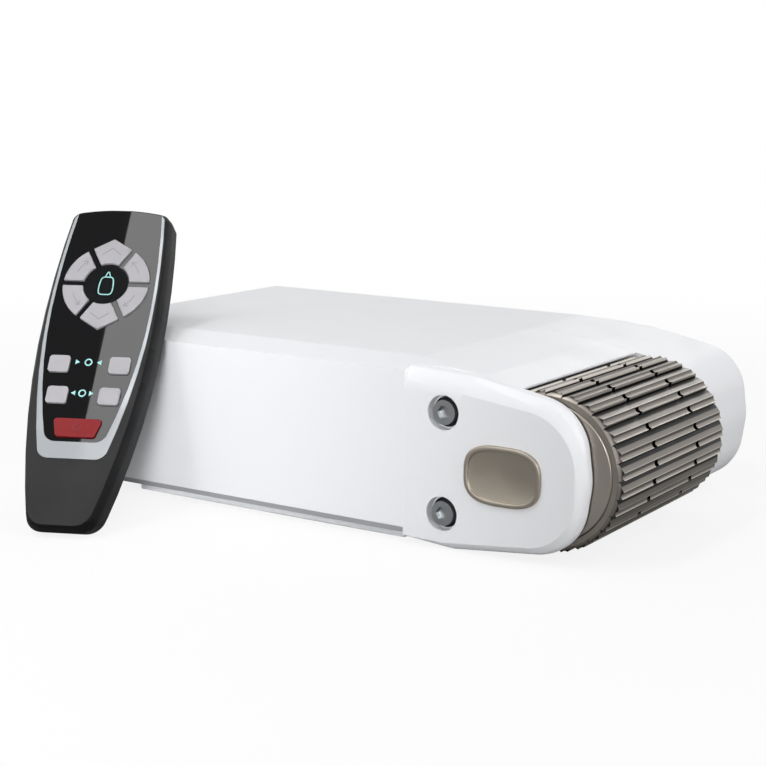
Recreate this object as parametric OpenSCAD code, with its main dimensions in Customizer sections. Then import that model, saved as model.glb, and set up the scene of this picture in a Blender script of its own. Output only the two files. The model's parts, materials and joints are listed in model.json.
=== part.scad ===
// Drive unit that moves a parked caravan by a roller against its tyre, and the wireless
// handset that leans on it. X runs from the blind end to the roller, Y runs inboard, Z is up.
// The origin is the centre of the base plate's underside. Sizes are in millimetres.

/* [Main housing] */
// Length of the main housing, from its blind end to the drive end
housing_length = 252; // [220:1:300]
// Width of the unit, from the outboard face to the inboard face
unit_width = 223; // [210:1:250]
// Height of the upright outboard face
face_height = 84; // [80:1:96]
// Width of the sloped band along the top edges
slope_depth = 18.6; // [12:0.2:26]
// Rise of the sloped band
slope_rise = 4.9; // [3:0.1:8]
// Wall thickness of the mouldings
wall = 3.2; // [2.6:0.1:4]
// Bevel round the foot of the housing, which is the height of the floor pan
sill = 4; // [3:0.1:6]

/* [Base plate] */
// Length of the base plate
base_length = 184; // [160:1:200]
// Thickness of the base plate
base_height = 4.4; // [4:0.1:7]
// Distance of the base plate in from the outboard and inboard faces
base_inset = 8.4; // [6:0.1:12]
// Gap between the base plate and the drive end
base_setback = 4; // [2:0.5:8]
// Thread radius of the base screws
base_screw_r = 2.5; // [2:0.1:3]
// Distance between the base screws along the unit
base_screw_pitch = 70; // [50:1:75]

/* [Drive end] */
// Thickness of the two cheeks at the drive end
cheek_thickness = 9; // [8.5:0.1:12]
// Reach of the cheeks past the roller's axis
nose_past = 26.1; // [24:0.1:31]
// Radius of the cheek's upper and lower front corners
corner_r = 29; // [24:0.5:32]
// Distance of the top panel's upper edge from the main housing
ramp_start = 20; // [14:0.5:30]
// Distance of the roller slot's lip behind the roller's axis
lip_setback = 14.4; // [13:0.1:18]
// Drop of the top panel towards the roller
ramp_drop = 8.5; // [7:0.1:9]
// Distance of the cheek screws from the main housing
cheek_screw_x = 23.4; // [20:0.1:26]
// Height of the lower cheek screw above the ground
cheek_screw_low = 19.1; // [18:0.1:20]
// Height of the upper cheek screw above the ground
cheek_screw_high = 72.5; // [71:0.1:74]
// Thread radius of the cheek screws
cheek_screw_r = 4; // [3:0.1:4.2]

/* [Roller] */
// Radius over the tread of the roller
roller_radius = 41.8; // [40:0.1:42]
// Length of the roller
roller_length = 133.4; // [120:0.2:140]
// Distance of the roller's axis from the main housing
roller_reach = 78.4; // [77:0.1:90]
// Height of the roller's axis above the ground
roller_height = 46.9; // [46:0.1:48]
// Height of the tread blocks
tread_depth = 2.7; // [1.5:0.1:3]
// Number of tread rows round the roller
tread_rows = 27; // [20:1:32]
// Length of the bevel at both ends of the tread
tread_bevel = 2.4; // [2:0.1:6]
// Depth of the hollow in each tread block
hollow = 1; // [0.3:0.1:1.2]
// Distance of the first ring without tread from the outboard end
outer_block = 40; // [30:0.5:50]
// Length of the tread blocks in the middle
middle_block = 49.8; // [40:0.2:60]
// Width of the two rings without tread
tread_gap = 4; // [1.5:0.1:5]
// Bore of the roller's sleeve
sleeve_bore_r = 36.4; // [33:0.1:37]
// Thickness of the roller's end plugs
plug_thickness = 8; // [6:0.5:12]
// Radius of the roller's shaft
shaft_r = 7.5; // [6.5:0.1:8]

/* [Gear train] */
// Module of the gears
gear_module = 1.5; // [1.45:0.05:1.55]
// Teeth of the gear on the roller shaft
roller_teeth = 22; // [20:2:22]
// Teeth of the idler gear
idler_teeth = 36; // [34:2:38]
// Teeth of the gear on the gearhead shaft
drive_teeth = 16; // [14:2:18]
// Width of the gears
gear_width = 12; // [8:0.5:16]
// Radius of the idler's fixed pin
idler_pin_r = 5; // [4:0.1:6]

/* [Drive motor] */
// Radius of the motor and gearhead
motor_r = 28; // [24:0.5:28]
// Length of the motor's can
motor_length = 66; // [50:1:70]
// Radius of the gearhead's output shaft
output_r = 6; // [5:0.1:7]

/* [Engagement carriage] */
// Stroke that presses the roller against the tyre
travel = 40; // [25:1:50]
// Length of the sliding carriage
carriage_length = 70; // [66:1:80]
// Distance of the guide rods from the inboard face
rod_offset = 20; // [19:0.5:26]
// Distance between the guide rods
rod_spacing = 44; // [40:0.5:48]
// Height of the lead screw above the ground
carriage_height = 48; // [44:0.5:50]
// Radius of the guide rods
rod_r = 6; // [5:0.1:7]
// Radius of the lead screw
screw_r = 5; // [4:0.1:6]
// Radius of the socket for the cross tube
socket_r = 15.05; // [12:0.05:18]
// Depth of the socket for the cross tube
socket_depth = 23; // [16:0.5:30]
// Distance between the chassis bolts, both ways
bolt_spacing = 50; // [46:0.5:54]
// Radius of the chassis bolt holes
bolt_hole_r = 4.2; // [3:0.1:5]

/* [Handset] */
// Length of the handset
handset_length = 200; // [190:1:220]
// Greatest width of the handset
handset_width = 70; // [68:0.5:80]
// Wall thickness of the handset
handset_wall = 2; // [1.6:0.1:2.4]
// Lean of the handset from upright
handset_lean = 38; // [30:0.5:42]
// Turn of the handset towards the roller end
handset_turn = 24; // [0:0.5:28]
// Distance of the handset's foot from the drive end
handset_place = 159.5; // [140:0.5:185]
// Stand of the keys above the fascia
key_stand = 1.2; // [1:0.1:1.6]
// Outer radius of the ring of steering keys
ring_r = 25.1; // [24:0.1:26]
// Radius of the disc inside the steering keys
disc_r = 13.3; // [10:0.1:14]

/* [Hidden] */
$fn = 64;

// Clearances between pieces
gap = 0.3;
run = 0.05;
roller_end_gap = 1.1;
well_gap = 1.1;
hair = 0.01;

// Levels and faces of the housing
half_width = unit_width / 2;
floor_z = base_height + sill;
shoulder_z = floor_z + face_height;
top_z = shoulder_z + slope_rise;
seam_x = base_length / 2 + base_setback;
blind_x = seam_x - housing_length;
cheek_face = half_width - cheek_thickness;
roller_near = cheek_face - roller_end_gap;
case_face = roller_length - roller_near + roller_end_gap;
case_wall = 4;
case_floor = case_face + case_wall;

// Outline of the drive end seen from the side: seam heights and rounds as [x, z, radius]
nose_r = 34.8;
nose_bulge = 1.6;
crown_r = 30;
crown_x = 37.5;
crown_drop = 4.3;
belly_r = 13.8;
belly_x = 28.7;
seam_foot = 3;
nose_reach = roller_reach + nose_past;
slot_lip = roller_reach - lip_setback;
corner_rise = 10.2;
corner_fall = 13.3;
nose_drop = 1.6;
corner_x = nose_reach - nose_bulge - corner_r;
outer_rounds = [[corner_x, roller_height + corner_rise, corner_r],
    [corner_x, roller_height - corner_fall, corner_r],
    [nose_reach - nose_r, roller_height - nose_drop, nose_r],
    [crown_x, top_z - crown_drop - crown_r, crown_r],
    [belly_x, belly_r, belly_r]];
// How each round moves in and shrinks from the cheek's edge to its flat face
face_shift = [[-5, -8.4, 1.2], [-3.3, 3.8, -0.4], [-3.7, -2.4, -1.6], [-3.5, -9.8, 0], [-4.7, 0.7, -3.2]];
face_seam_drop = 12;
face_seam_lift = 1.3;
cheek_straight = 2;
// Steps of the cheek's edge round as shares of its depth and of its move inwards
edge_steps = [[0.3, 0.07], [0.6, 0.28], [0.83, 0.6], [1, 1]];
cheek_seam_z = shoulder_z + slope_rise * cheek_thickness / slope_depth;

// Roller and its well
roller_x = seam_x + roller_reach;
root_r = roller_radius - tread_depth;
// Shares of a tread row where its ramp ends and where its block ends in a lip
crest_share = 0.53;
lip_share = 0.91;
well_r = roller_radius + well_gap;

// Gear centres, on one level with the roller
idler_x = roller_x - gear_module * (roller_teeth + idler_teeth) / 2;
drive_x = idler_x - gear_module * (idler_teeth + drive_teeth) / 2;
gear_y = case_floor + 7;
shaft_end = 2;
pressure_angle = 25;
addendum = 0.8;
dedendum = 1.05;
tooth_thinning = 0.25;

// Drive motor between the near cheek and the gear case
motor_gap = 10;
output_depth = 10;
gearhead_near = -roller_near + motor_length + motor_gap;

// Bearings as [outer radius, width]
near_race = [12, 5];
far_race = [16, 8];
bearing_boss = 4;

// Fasteners
base_screw_edge = 6;
cheek_head_r = 6.5;
cheek_head_h = 4;
cheek_washer_r = 8;
cheek_washer_h = 1.4;
cheek_recess_r = 9.2;
cheek_recess = 6;
cheek_boss = 18;
case_post_r = 5;
case_screw_r = 2.5;
case_head_r = 4.5;
case_head_h = 3;
case_tap = 16;
case_thread = 14;
case_screw_x = 12;
case_screw_in = 14;
case_screw_out = 25;
case_screws = [[case_screw_x, top_z - 1.2 * case_screw_in], [case_screw_x, case_screw_in],
    [roller_reach, roller_height + case_screw_out], [roller_reach, roller_height - case_screw_out]];

// Cable gland on the inboard face
gland_in = 40;
gland_up = 24;
gland_x = blind_x + gland_in;
gland_z = floor_z + gland_up;
gland_r = 6;
cable_r = 3.6;

// Carriage on the inboard face
slide_y = half_width + rod_offset;
bracket_t = 12;
bracket_place = 47;
bracket_right = seam_x - bracket_place;
stop_gap = 4;
carriage_x = bracket_right - stop_gap - carriage_length;
bracket_left = carriage_x - travel - stop_gap - bracket_t;
bush_wall = 2;
nut_r = 8;
carriage_front = 19;
carriage_depth = rod_offset + carriage_front;
bolt_depth = 9;
collar = 15;
actuator_r = 18;
actuator_length = 76;
screw_tail = 8;
carriage_half = rod_spacing / 2 + rod_r + bush_wall + 4;

// Handset form from the back to the face: depth, and inset at the sides, foot and top
levels = [[0, 8, 15, 9], [4, 2.5, 8.5, 4], [10, 0, 3, 1.2], [17, 0.6, 0.3, 0.2], [22, 1.9, 0.6, 0.2],
    [24, 3.4, 2, 1]];
face_w = levels[5][0];
parting_w = levels[2][0];
pocket = 1.8;
side_sweep = 900;
upper_sweep = 1200;
widest_v = 0.605 * handset_length;
tail_corner = 10;
top_corner = 5;
top_crown = 3;
foot_lift = min([for (l = levels) l[0] * sin(handset_lean) + l[2] * cos(handset_lean)]);
touch_v = (shoulder_z + foot_lift) / cos(handset_lean);
touch_half = handset_width / 2 - levels[0][1];
handset_y = -half_width - gap - touch_half * sin(handset_turn)
    - touch_v * sin(handset_lean) * cos(handset_turn);

// Fascia outline, keys and inner pieces of the handset
face_inset = levels[5][1] + 0.4;
rim_half = 30.4;
rim_sweep = 720;
rim_upper_sweep = 1000;
rim_widest_v = 0.665 * handset_length;
rim_foot = 0.202 * handset_length;
rim_band = 1.7;
rim_swell = 2.6;
swell_length = 80;
foot_band = 10;
trim_stand = 0.3;
rim_corner = 7;
ring_v = 0.7465 * handset_length;
spoke = 3.4;
point_r = 29.4;
point_slope = 0.6;
key_size = [11.8, 10.2];
key_corner = 1.8;
power_size = [26.6, 11];
power_taper = 2;
engage_at = [17.3, 0.487 * handset_length];
release_at = [14.8, 0.391 * handset_length];
power_v = 0.2925 * handset_length;
steer_angles = [90, 150, -150, -90, -30, 30];
side_keys = [[-engage_at[0], engage_at[1]], engage_at, [-release_at[0], release_at[1]], release_at];
key_count = 11;
flange = 0.6;
flange_t = 1.2;
key_gap = 0.3;
shelf = face_w - pocket - handset_wall;
board_w = 13;
board_t = 1.6;
switch_size = 4.5;
switch_h = 2.4;
cell_r = 5.2;
cell_length = 44.5;
cell_v = 32;
cell_spacing = 12;
door_size = [30, 54];
door_v = 26;
door_grip = [16, 1.2];
handset_screws_at = [[19, 0.88 * handset_length], [20, 0.44 * handset_length]];
board_half = 23;
board_foot = 10;
board_top = 14;
handset_screw_r = 1.3;
handset_head_r = 2.4;
handset_head_h = 1.6;

white = "#E8E9EC";
taupe = "#8E857C";
steel = "#8A8D90";
dark_steel = "#55585A";
bronze = "#A98850";
charcoal = "#2B2B2C";

// Extrudes an outline drawn in X and Z along Y, from one y to another
module along_y(y0, y1) {
    translate([0, y1, 0])
        rotate([90, 0, 0])
            linear_extrude(y1 - y0) children();
}

// Extrudes an outline drawn in Y and Z along X, from one x to another
module along_x(x0, x1) {
    translate([x0, 0, 0])
        rotate([90, 0, 90])
            linear_extrude(x1 - x0) children();
}

// Round bar along Y at a given x and z
module rod_y(x, z, r, y0, y1) {
    translate([x, y1, z])
        rotate([90, 0, 0])
            cylinder(r = r, h = y1 - y0);
}

// Round bar along X at a given y and z
module rod_x(y, z, r, x0, x1) {
    translate([x0, y, z])
        rotate([0, 90, 0])
            cylinder(r = r, h = x1 - x0);
}

// Cross-section of the housing with its sloped top edges, drawn in by an inset
module housing_section(inset) {
    w = half_width - inset;
    polygon([[-w, floor_z], [-w, shoulder_z - inset / 2], [-w + slope_depth, top_z - inset],
        [w - slope_depth, top_z - inset], [w, shoulder_z - inset / 2], [w, floor_z]]);
}

// Long section of the housing, with the same slope at its blind end
module housing_side(inset) {
    x = blind_x + inset;
    polygon([[x, floor_z], [x, shoulder_z - inset / 2], [x + slope_depth, top_z - inset],
        [seam_x, top_z - inset], [seam_x, floor_z]]);
}

module housing_form(inset) {
    intersection() {
        along_x(blind_x, seam_x) housing_section(inset);
        along_y(-half_width, half_width) housing_side(inset);
    }
}

// Places children at each base screw
module at_base_screws() {
    y = half_width - base_inset - base_screw_edge;
    for (i = [-1, 0, 1])
        for (side = [-1, 1])
            translate([i * base_screw_pitch, side * y, 0]) children();
}

module main_cover() {
    boss = 7;
    boss_height = 18;
    boss_reach = base_inset + base_screw_edge + boss;
    color(white) {
        difference() {
            housing_form(0);
            translate([wall, 0, -hair]) housing_form(wall);
            translate([0, 0, -hair]) housing_form(wall);
            rod_y(gland_x, gland_z, gland_r, cheek_face, half_width + 1);
        }
        difference() {
            for (i = [-1, 0, 1])
                for (y = [1 - half_width, half_width - boss_reach])
                    translate([i * base_screw_pitch - boss, y, floor_z])
                        cube([2 * boss, boss_reach - 1, boss_height]);
            at_base_screws() cylinder(r = base_screw_r, h = 2 * floor_z);
        }
    }
}

// Shallow pan that closes the housing from below, with a bevel round its edge
module floor_pan() {
    color("#C9CACD")
        difference() {
            intersection() {
                along_x(blind_x, seam_x)
                    polygon([[-half_width + sill, base_height], [half_width - sill, base_height],
                        [half_width, floor_z], [-half_width, floor_z]]);
                along_y(-half_width, half_width)
                    polygon([[blind_x + sill, base_height], [seam_x, base_height],
                        [seam_x, floor_z], [blind_x, floor_z]]);
            }
            at_base_screws() cylinder(r = base_screw_r, h = 2 * floor_z);
        }
}

module base_plate() {
    head_r = base_screw_r * 1.9;
    size = [base_length, unit_width - 2 * base_inset];
    color(white)
        difference() {
            translate([-size[0] / 2, -size[1] / 2, 0]) cube([size[0], size[1], base_height]);
            at_base_screws() {
                translate([0, 0, -1]) cylinder(r = head_r, h = 1 + base_height / 2);
                cylinder(r = base_screw_r, h = 2 * floor_z);
            }
        }
}

module base_screws() {
    head_r = base_screw_r * 1.9;
    sunk = 0.4;
    color(dark_steel)
        at_base_screws() {
            translate([0, 0, sunk]) cylinder(r = head_r - 0.2, h = base_height / 2 - sunk);
            translate([0, 0, base_height / 2]) cylinder(r = base_screw_r, h = floor_z);
        }
}

// Outline of the drive end, from its edge at blend 0 to its flat face at blend 1
module drive_outline(blend, seam_top) {
    foot = seam_foot + blend * face_seam_lift;
    translate([seam_x, 0])
        hull() {
            translate([0, foot]) square([1 + blend, seam_top - blend * face_seam_drop - foot]);
            for (i = [0 : len(outer_rounds) - 1]) {
                r = outer_rounds[i] + blend * face_shift[i];
                translate([r[0], r[1]]) circle(r = r[2], $fn = 96);
            }
        }
}

// Cheek with a broad quarter round between its edge and its flat face, facing outboard
module cheek_form() {
    depth = cheek_thickness - cheek_straight;
    slice = 0.05;
    hull() {
        along_y(-cheek_face - cheek_straight, -cheek_face) drive_outline(0, cheek_seam_z);
        for (e = edge_steps) {
            y = -cheek_face - cheek_straight - depth * e[0];
            along_y(y, y + slice) drive_outline(e[1], cheek_seam_z);
        }
    }
}

// Places children at the two cheek screws, on the flat face and pointing outboard
module at_cheek_screws() {
    for (z = [cheek_screw_low, cheek_screw_high])
        translate([seam_x + cheek_screw_x, -half_width, z]) children();
}

module near_cheek() {
    color(white)
        difference() {
            cheek_form();
            at_cheek_screws() {
                rod_y(0, 0, cheek_recess_r, -1, cheek_recess);
                rod_y(0, 0, cheek_screw_r, 0, cheek_thickness + 1);
            }
            rod_y(roller_x, roller_height, near_race[0], -cheek_face - near_race[1] - gap, -cheek_face + 1);
        }
}

module cheek_washers() {
    color(steel)
        at_cheek_screws()
            difference() {
                rod_y(0, 0, cheek_washer_r, cheek_recess - cheek_washer_h, cheek_recess);
                rod_y(0, 0, cheek_screw_r, 0, cheek_thickness);
            }
}

// Socket head screws with a hexagon recess
module cheek_screws() {
    seat = cheek_recess - cheek_washer_h;
    color(dark_steel)
        at_cheek_screws()
            difference() {
                union() {
                    rod_y(0, 0, cheek_head_r, seat - cheek_head_h, seat);
                    rod_y(0, 0, cheek_screw_r, seat, cheek_thickness + cheek_boss - 2);
                }
                translate([0, seat - 1, 0])
                    rotate([90, 0, 0]) cylinder(r = cheek_screw_r * 0.95, h = cheek_head_h, $fn = 6);
            }
}

// Outline under the sloping top panel that leads down to the roller
module under_ramp(inset) {
    far = nose_reach * 2;
    slope = ramp_drop / (slot_lip - ramp_start);
    translate([seam_x, 0])
        polygon([[-1, 0], [-1, top_z - inset], [ramp_start, top_z - inset],
            [far, top_z - inset - slope * (far - ramp_start)], [far, 0]]);
}

// Hollow bridge between the cheeks, with a trough behind the roller
module bridge_section() {
    difference() {
        intersection() {
            drive_outline(0, top_z);
            under_ramp(0);
        }
        translate([roller_x, roller_height]) circle(r = well_r);
        translate([seam_x + slot_lip, 0]) square([nose_reach, 2 * top_z]);
        difference() {
            intersection() {
                offset(delta = -wall) drive_outline(0, top_z);
                under_ramp(wall);
            }
            translate([roller_x, roller_height]) circle(r = well_r + wall);
            translate([seam_x + slot_lip - wall, 0]) square([nose_reach, 2 * top_z]);
        }
        translate([seam_x - 1, floor_z]) square([wall + 2, top_z - wall - floor_z]);
    }
}

// Cuts the drive end to the sloped edges of the main housing
module with_slopes() {
    intersection() {
        children();
        along_x(seam_x, seam_x + 2 * nose_reach) {
            housing_section(0);
            translate([-half_width, 0]) square([unit_width, floor_z + 1]);
        }
    }
}

module top_bridge() {
    boss_r = cheek_screw_r + 3;
    rib = 4;
    x = seam_x + cheek_screw_x;
    color(white)
        difference() {
            union() {
                with_slopes() along_y(-cheek_face, case_face) bridge_section();
                for (z = [cheek_screw_low, cheek_screw_high])
                    rod_y(x, z, boss_r, -cheek_face, -cheek_face + cheek_boss);
                intersection() {
                    along_y(-cheek_face, -cheek_face + cheek_boss) {
                        translate([x - rib / 2, 0]) square([rib, cheek_screw_low]);
                        translate([x - rib / 2, cheek_screw_high]) square([rib, top_z]);
                    }
                    with_slopes() along_y(-cheek_face, case_face)
                        intersection() {
                            drive_outline(0, top_z);
                            under_ramp(0);
                        }
                }
            }
            for (z = [cheek_screw_low, cheek_screw_high])
                rod_y(x, z, cheek_screw_r, -cheek_face - 1, -cheek_face + cheek_boss + 1);
        }
}

// Gear case: a deep cup behind the roller, with a wall that reaches into the main housing
module gearbox_case() {
    reach = motor_r + 12;
    low = floor_z + gap;
    high = shoulder_z - 8;
    boss_end = case_face + 1 + far_race[1];
    color(white)
        difference() {
            union() {
                with_slopes()
                    difference() {
                        along_y(case_face, cheek_face) drive_outline(0, top_z);
                        along_y(case_floor, cheek_face + 1) offset(delta = -wall) drive_outline(0, top_z);
                        along_y(case_floor, cheek_face + 1)
                            translate([seam_x - 1, floor_z]) square([wall + 2, top_z - wall - floor_z]);
                    }
                translate([drive_x - reach, case_face, low])
                    cube([seam_x - drive_x + reach + 1, case_wall, high - low]);
                rod_y(roller_x, roller_height, far_race[0] + bearing_boss, case_face, boss_end);
                rod_y(idler_x, roller_height, idler_pin_r + 5, case_face, gear_y - gap);
                for (p = case_screws)
                    rod_y(seam_x + p[0], p[1], case_post_r, case_face, cheek_face);
            }
            rod_y(roller_x, roller_height, far_race[0], case_face + 1, boss_end + 1);
            rod_y(roller_x, roller_height, shaft_r + 1, case_face - 1, boss_end);
            rod_y(idler_x, roller_height, idler_pin_r, case_face - 1, gear_y);
            rod_y(drive_x, roller_height, output_r + 1, case_face - 1, case_floor + 1);
            for (p = case_screws)
                rod_y(seam_x + p[0], p[1], case_screw_r, cheek_face - case_tap, cheek_face + 1);
        }
}

module gearbox_cover() {
    color(white)
        difference() {
            mirror([0, 1, 0]) cheek_form();
            for (p = case_screws) {
                rod_y(seam_x + p[0], p[1], case_head_r + gap, half_width - case_head_h - 1, half_width + 1);
                rod_y(seam_x + p[0], p[1], case_screw_r, cheek_face - 1, half_width);
            }
        }
}

module gearbox_screws() {
    seat = half_width - case_head_h - 1;
    color(dark_steel)
        for (p = case_screws)
            translate([seam_x + p[0], 0, p[1]])
                difference() {
                    union() {
                        rod_y(0, 0, case_head_r, seat, seat + case_head_h);
                        rod_y(0, 0, case_screw_r, cheek_face - case_thread, seat);
                    }
                    translate([0, seat + case_head_h + 1, 0])
                        rotate([90, 0, 0]) cylinder(r = case_screw_r, h = 3, $fn = 6);
                }
}

// Ring with a groove on each face between its two races
module ball_bearing(race, y0) {
    inner = shaft_r + run;
    middle = (race[0] + inner) / 2;
    groove = (race[0] - inner) / 5;
    difference() {
        rod_y(roller_x, roller_height, race[0], y0, y0 + race[1]);
        rod_y(roller_x, roller_height, inner, y0 - 1, y0 + race[1] + 1);
        for (y = [y0 - 1, y0 + race[1] - 0.6])
            difference() {
                rod_y(roller_x, roller_height, middle + groove, y, y + 1.6);
                rod_y(roller_x, roller_height, middle - groove, y - 1, y + 3);
            }
    }
}

module near_bearing() {
    color(steel) ball_bearing(near_race, -cheek_face - near_race[1]);
}

module far_bearing() {
    color(steel) ball_bearing(far_race, case_face + 1);
}

// Point round the roller in one tread row, from a share of the row and a radius
function row_point(row, share, radius) = let (turn = -(row + share) * 360 / tread_rows)
    radius * [cos(turn), sin(turn)];

// Each tread row: a ramp up to a crest, then a hollow block that ends in a sharp lip
tread_row = concat(
    [[0, root_r - 0.5], [0.03, root_r + 0.2 * tread_depth], [crest_share, roller_radius]],
    [for (t = [0.2, 0.4, 0.6, 0.8])
        [crest_share + t * (lip_share - crest_share), roller_radius - 4 * hollow * t * (1 - t)]],
    [[lip_share, roller_radius]]);

module tread_outline() {
    polygon([for (i = [0 : tread_rows - 1]) for (p = tread_row) row_point(i, p[0], p[1])]);
}

// Spaces between the ramps, which take the blocks away in the rings
module ring_outline() {
    low = root_r + 0.2;
    high = roller_radius + 1;
    from = crest_share + 0.02;
    to = 0.99;
    for (i = [0 : tread_rows - 1])
        polygon([row_point(i, from, low), row_point(i, from, high),
            row_point(i, to, high), row_point(i, to, low)]);
}

// Sleeve whose tread is bevelled at both ends and has two rings without blocks
module roller_sleeve() {
    ends = [-roller_near, -roller_near + roller_length];
    ring = ends[0] + outer_block;
    edge = 0.3;
    foot = root_r - edge;
    rise = roller_length * (tread_depth + edge) / tread_bevel;
    color(taupe)
        difference() {
            union() {
                rod_y(roller_x, roller_height, root_r, ends[0], ends[1]);
                translate([roller_x, 0, roller_height])
                    difference() {
                        intersection() {
                            along_y(ends[0] + edge, ends[1] - edge) tread_outline();
                            translate([0, ends[0] + edge, 0])
                                rotate([-90, 0, 0])
                                    cylinder(r1 = foot, r2 = foot + rise, h = roller_length);
                            translate([0, ends[1] - edge, 0])
                                rotate([90, 0, 0])
                                    cylinder(r1 = foot, r2 = foot + rise, h = roller_length);
                        }
                        for (y = [ring, ring + tread_gap + middle_block])
                            along_y(y, y + tread_gap) ring_outline();
                    }
            }
            rod_y(roller_x, roller_height, sleeve_bore_r, ends[0] - 1, ends[1] + 1);
        }
}

// End plugs with a bevelled edge, which leaves a groove inside the sleeve's rim
module roller_plugs() {
    bevel = 0.9;
    color(taupe)
        for (side = [-1, 1])
            translate([roller_x, side * roller_length / 2 + roller_length / 2 - roller_near, roller_height])
                rotate([side * 90, 0, 0])
                    difference() {
                        union() {
                            cylinder(r1 = sleeve_bore_r - bevel, r2 = sleeve_bore_r, h = bevel);
                            translate([0, 0, bevel]) cylinder(r = sleeve_bore_r, h = plug_thickness - bevel);
                        }
                        translate([0, 0, -1]) cylinder(r = shaft_r, h = plug_thickness + 2);
                    }
}

module roller_shaft() {
    color(steel)
        rod_y(roller_x, roller_height, shaft_r, -cheek_face - near_race[1], gear_y + gear_width + shaft_end);
}

// Involute tooth form with stub teeth, thinned for backlash
function involute(a) = tan(a) * 180 / PI - a;
function tooth_half(r, teeth) = let (
        pitch_r = gear_module * teeth / 2,
        base_r = pitch_r * cos(pressure_angle))
    90 / teeth - tooth_thinning / 2 / pitch_r * 180 / PI + involute(pressure_angle)
        - involute(acos(min(1, base_r / r)));
function gear_points(teeth, turn) = let (
        pitch_r = gear_module * teeth / 2,
        base_r = pitch_r * cos(pressure_angle),
        root = pitch_r - dedendum * gear_module,
        tip = pitch_r + addendum * gear_module,
        foot = max(base_r, root),
        flank = [for (i = [0 : 3]) foot + (tip - foot) * i / 3],
        half = [for (r = flank) tooth_half(r, teeth)],
        rise = concat([[root, -half[0]]], [for (i = [0 : 3]) [flank[i], -half[i]]]),
        fall = concat([for (i = [3 : -1 : 0]) [flank[i], half[i]]], [[root, half[0]]]))
    [for (k = [0 : teeth - 1])
        for (p = concat(rise, fall))
            p[0] * [cos(p[1] + turn + k * 360 / teeth), sin(p[1] + turn + k * 360 / teeth)]];

module gear(x, teeth, turn, bore) {
    translate([x, 0, roller_height])
        along_y(gear_y, gear_y + gear_width)
            difference() {
                polygon(gear_points(teeth, turn));
                circle(r = bore);
            }
}

module roller_gear() {
    color(steel) gear(roller_x, roller_teeth, 0, shaft_r);
}

module idler_gear() {
    color(bronze) gear(idler_x, idler_teeth, 180 / idler_teeth, idler_pin_r + run);
}

module idler_pin() {
    head = 3;
    neck = gear_y + gear_width + gap;
    color(steel) {
        rod_y(idler_x, roller_height, idler_pin_r, case_face, neck);
        rod_y(idler_x, roller_height, idler_pin_r + head, neck, neck + head);
    }
}

// Gear on the gearhead's output shaft, which runs back into the gearhead
module drive_gear() {
    color(steel) {
        gear(drive_x, drive_teeth, 0, output_r);
        rod_y(drive_x, roller_height, output_r, case_face - output_depth, gear_y + gear_width + shaft_end);
    }
}

module gearhead() {
    flutes = 8;
    color("#9A9CA0")
        difference() {
            rod_y(drive_x, roller_height, motor_r, gearhead_near, case_face);
            rod_y(drive_x, roller_height, output_r + run, case_face - output_depth - gap, case_face + 1);
            for (i = [0 : flutes - 1])
                translate([drive_x, 0, roller_height])
                    rotate([0, i * 360 / flutes, 0])
                        rod_y(motor_r + 1.5, 0, 3, gearhead_near + 8, case_face - 8);
        }
}

module drive_motor() {
    color("#3C3E42")
        rod_y(drive_x, roller_height, motor_r - 1, gearhead_near - motor_length, gearhead_near);
}

// End bell of the motor, with its two brush caps
module motor_cap() {
    end = gearhead_near - motor_length;
    bell = 0.09 * motor_length;
    brush_r = 0.4 * bell;
    color("#2E2F31") {
        rod_y(drive_x, roller_height, 0.9 * motor_r, end - bell, end);
        for (side = [-1, 1])
            translate([drive_x + side * 0.7 * motor_r, end - bell / 2, roller_height])
                rotate([0, side * 90, 0]) cylinder(r = brush_r, h = motor_r / 4);
    }
}

// Saddle that carries the motor on the floor pan
module motor_saddle() {
    y = gearhead_near - motor_length / 2;
    half = 9;
    width = motor_r * 1.4;
    color("#9A9CA0")
        difference() {
            translate([drive_x - width, y - half, floor_z])
                cube([width + min(width, seam_x - drive_x), 2 * half, roller_height - floor_z - 8]);
            rod_y(drive_x, roller_height, motor_r - 1, y - half - 1, y + half + 1);
        }
}

// Gland where the supply cable enters the inboard wall
module cable_gland() {
    nut = 6;
    cap = 7;
    color("#303134")
        difference() {
            union() {
                rod_y(gland_x, gland_z, gland_r, half_width - wall - 2, half_width);
                translate([gland_x, half_width + nut, gland_z])
                    rotate([90, 0, 0]) cylinder(r = gland_r + 5, h = nut, $fn = 6);
                rod_y(gland_x, gland_z, gland_r + 2.5, half_width + nut, half_width + nut + cap);
            }
            rod_y(gland_x, gland_z, cable_r, cheek_face, half_width + 2 * (nut + cap));
        }
}

// Two end brackets that hold the guide rods on the inboard face
module rod_brackets() {
    color("#9A9CA0")
        for (x = [bracket_left, bracket_right])
            difference() {
                translate([x, half_width, carriage_height - carriage_half])
                    cube([bracket_t, rod_offset + 14, 2 * carriage_half]);
                for (side = [-1, 1])
                    rod_x(slide_y, carriage_height + side * rod_spacing / 2, rod_r, x - 1, x + bracket_t + 1);
                rod_x(slide_y, carriage_height, screw_r + run, x - 1, x + bracket_t + 1);
            }
}

module guide_rods() {
    color("#C4C7CA")
        for (side = [-1, 1])
            rod_x(slide_y, carriage_height + side * rod_spacing / 2, rod_r,
                bracket_left, bracket_right + bracket_t);
}

module actuator_motor() {
    x = bracket_right + bracket_t;
    color("#3C3E42")
        difference() {
            union() {
                rod_x(slide_y, carriage_height, actuator_r, x, x + actuator_length * 0.4);
                rod_x(slide_y, carriage_height, actuator_r - 1.5, x, x + actuator_length);
            }
            rod_x(slide_y, carriage_height, screw_r + run, x - 1, x + screw_tail + gap);
        }
}

module lead_screw() {
    color("#C4C7CA")
        rod_x(slide_y, carriage_height, screw_r, bracket_left, bracket_right + bracket_t + screw_tail);
}

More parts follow.
